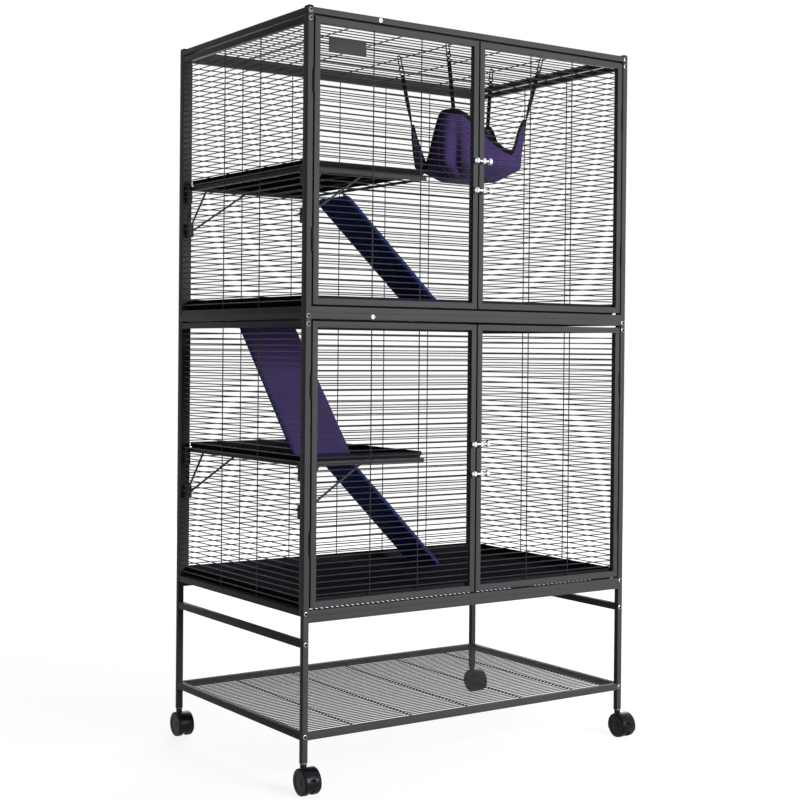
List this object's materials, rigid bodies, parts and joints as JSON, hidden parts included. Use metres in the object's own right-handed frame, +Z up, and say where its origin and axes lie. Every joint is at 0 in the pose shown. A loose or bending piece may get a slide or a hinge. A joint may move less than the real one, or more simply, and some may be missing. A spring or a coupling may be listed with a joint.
{
  "type": "ferret cage",
  "caption": "Tall rolling wire cage in stacked storeys, with hinged front doors, slide latches, hung shelves, padded ramps, a soft hanging bed and a storage shelf between caster legs.",
  "frame": {"origin": "on the floor under the middle of the whole outline, casters included", "axes": "+X to the right seen from the doors, +Y from the doors towards the back, +Z up"},
  "size_m": [0.9054, 0.6292, 1.61],
  "materials": {
    "powder_coat": "satin",
    "wire_coat": "satin",
    "pan_plastic": "matte",
    "caster_plastic": "satin",
    "wheel_plastic": "satin",
    "grey_plastic": "matte",
    "bright_chrome": "polished",
    "plate_grey": "matte",
    "purple_fabric": "matte",
    "black_webbing": "matte"
  },
  "bodies": {
    "cage": {"stand_legs": "powder_coat", "stand_rails": "powder_coat", "storage_shelf_frame": "powder_coat", "storage_shelf_wires": "wire_coat", "leg_plugs": "grey_plastic", "lower_floor_frame": "powder_coat", "lower_floor_wires": "wire_coat", "lower_pan": "pan_plastic", "lower_back_frame": "powder_coat", "lower_shelf_frame": "powder_coat", "lower_shelf_pan": "pan_plastic", "lower_left_side_frame": "powder_coat", "lower_right_side_frame": "powder_coat", "upper_floor_frame": "powder_coat", "upper_floor_wires": "wire_coat", "upper_pan": "pan_plastic", "upper_back_frame": "powder_coat", "upper_shelf_frame": "powder_coat", "upper_shelf_pan": "pan_plastic", "upper_left_side_frame": "powder_coat", "upper_right_side_frame": "powder_coat", "left_side_wires": "wire_coat", "right_side_wires": "wire_coat", "back_wires": "wire_coat", "middle_ring_frame": "powder_coat", "top_frame": "powder_coat", "top_wires": "wire_coat", "corner_caps": "pan_plastic", "hammock_bed": "purple_fabric", "hammock_straps": "black_webbing"},
    "lower_left_door": {"lower_left_door_frame": "powder_coat", "lower_left_door_wires": "wire_coat"},
    "lower_right_door": {"lower_right_door_frame": "powder_coat", "lower_right_door_wires": "wire_coat"},
    "lower_low_latch": {"lower_low_latch_bolt": "bright_chrome"},
    "lower_high_latch": {"lower_high_latch_bolt": "bright_chrome"},
    "upper_left_door": {"upper_left_door_frame": "powder_coat", "upper_left_door_wires": "wire_coat", "blank_plate": "plate_grey"},
    "upper_right_door": {"upper_right_door_frame": "powder_coat", "upper_right_door_wires": "wire_coat"},
    "upper_low_latch": {"upper_low_latch_bolt": "bright_chrome"},
    "upper_high_latch": {"upper_high_latch_bolt": "bright_chrome"},
    "upper_ramp": {"upper_ramp_frame": "powder_coat", "upper_ramp_cover": "purple_fabric"},
    "middle_ramp": {"middle_ramp_frame": "powder_coat", "middle_ramp_cover": "purple_fabric"},
    "lower_ramp": {"lower_ramp_frame": "powder_coat", "lower_ramp_cover": "purple_fabric"},
    "front_left_caster": {"front_left_caster_hood": "caster_plastic"},
    "front_left_caster_wheel_pair": {"front_left_caster_wheels": "wheel_plastic"},
    "front_left_brake": {"front_left_brake_lever": "caster_plastic"},
    "front_right_caster": {"front_right_caster_hood": "caster_plastic"},
    "front_right_caster_wheel_pair": {"front_right_caster_wheels": "wheel_plastic"},
    "front_right_brake": {"front_right_brake_lever": "caster_plastic"},
    "back_left_caster": {"back_left_caster_hood": "caster_plastic"},
    "back_left_caster_wheel_pair": {"back_left_caster_wheels": "wheel_plastic"},
    "back_right_caster": {"back_right_caster_hood": "caster_plastic"},
    "back_right_caster_wheel_pair": {"back_right_caster_wheels": "wheel_plastic"}
  },
  "joints": [
    {"name": "lower_left_door_swing", "type": "hinge", "parent": "cage", "child": "lower_left_door", "pos_m": [-0.4253, -0.275, 0.672], "axis": [0, 0, -1], "range_deg": [0, 170]},
    {"name": "lower_right_door_swing", "type": "hinge", "parent": "cage", "child": "lower_right_door", "pos_m": [0.4253, -0.275, 0.672], "axis": [0, 0, 1], "range_deg": [0, 170]},
    {"name": "lower_low_latch_slide", "type": "slide", "parent": "lower_right_door", "child": "lower_low_latch", "axis": [-1, 0, 0], "range_m": [0, 0.007]},
    {"name": "lower_high_latch_slide", "type": "slide", "parent": "lower_right_door", "child": "lower_high_latch", "axis": [-1, 0, 0], "range_m": [0, 0.007]},
    {"name": "upper_left_door_swing", "type": "hinge", "parent": "cage", "child": "upper_left_door", "pos_m": [-0.4253, -0.275, 1.2945], "axis": [0, 0, -1], "range_deg": [0, 170]},
    {"name": "upper_right_door_swing", "type": "hinge", "parent": "cage", "child": "upper_right_door", "pos_m": [0.4253, -0.275, 1.2945], "axis": [0, 0, 1], "range_deg": [0, 170]},
    {"name": "upper_low_latch_slide", "type": "slide", "parent": "upper_right_door", "child": "upper_low_latch", "axis": [-1, 0, 0], "range_m": [0, 0.007]},
    {"name": "upper_high_latch_slide", "type": "slide", "parent": "upper_right_door", "child": "upper_high_latch", "axis": [-1, 0, 0], "range_m": [0, 0.007]},
    {"name": "upper_ramp_lift", "type": "hinge", "parent": "cage", "child": "upper_ramp", "pos_m": [-0.1248, 0.164, 1.2795], "axis": [0, -1, 0], "range_deg": [0, 25]},
    {"name": "middle_ramp_lift", "type": "hinge", "parent": "cage", "child": "middle_ramp", "pos_m": [-0.3373, 0.101, 0.9894], "axis": [-1, 0, 0], "range_deg": [0, 15]},
    {"name": "lower_ramp_lift", "type": "hinge", "parent": "cage", "child": "lower_ramp", "pos_m": [-0.1248, 0.164, 0.6695], "axis": [0, -1, 0], "range_deg": [0, 25]},
    {"name": "front_left_caster_swivel", "type": "hinge", "parent": "cage", "child": "front_left_caster", "pos_m": [-0.43365, -0.26565, 0.06], "axis": [0, 0, 1], "continuous": true},
    {"name": "front_left_wheel_spin", "type": "hinge", "parent": "front_left_caster", "child": "front_left_caster_wheel_pair", "pos_m": [-0.43365, -0.28165, 0.027], "axis": [1, 0, 0], "continuous": true},
    {"name": "front_left_brake_press", "type": "hinge", "parent": "front_left_caster", "child": "front_left_brake", "pos_m": [-0.43365, -0.30565, 0.036], "axis": [1, 0, 0], "range_deg": [0, 15]},
    {"name": "front_right_caster_swivel", "type": "hinge", "parent": "cage", "child": "front_right_caster", "pos_m": [0.43365, -0.26565, 0.06], "axis": [0, 0, 1], "continuous": true},
    {"name": "front_right_wheel_spin", "type": "hinge", "parent": "front_right_caster", "child": "front_right_caster_wheel_pair", "pos_m": [0.43365, -0.28165, 0.027], "axis": [1, 0, 0], "continuous": true},
    {"name": "front_right_brake_press", "type": "hinge", "parent": "front_right_caster", "child": "front_right_brake", "pos_m": [0.43365, -0.30565, 0.036], "axis": [1, 0, 0], "range_deg": [0, 15]},
    {"name": "back_left_caster_swivel", "type": "hinge", "parent": "cage", "child": "back_left_caster", "pos_m": [-0.43365, 0.30165, 0.06], "axis": [0, 0, 1], "continuous": true},
    {"name": "back_left_wheel_spin", "type": "hinge", "parent": "back_left_caster", "child": "back_left_caster_wheel_pair", "pos_m": [-0.43365, 0.28565, 0.027], "axis": [1, 0, 0], "continuous": true},
    {"name": "back_right_caster_swivel", "type": "hinge", "parent": "cage", "child": "back_right_caster", "pos_m": [0.43365, 0.30165, 0.06], "axis": [0, 0, 1], "continuous": true},
    {"name": "back_right_wheel_spin", "type": "hinge", "parent": "back_right_caster", "child": "back_right_caster_wheel_pair", "pos_m": [0.43365, 0.28565, 0.027], "axis": [1, 0, 0], "continuous": true}
  ]
}
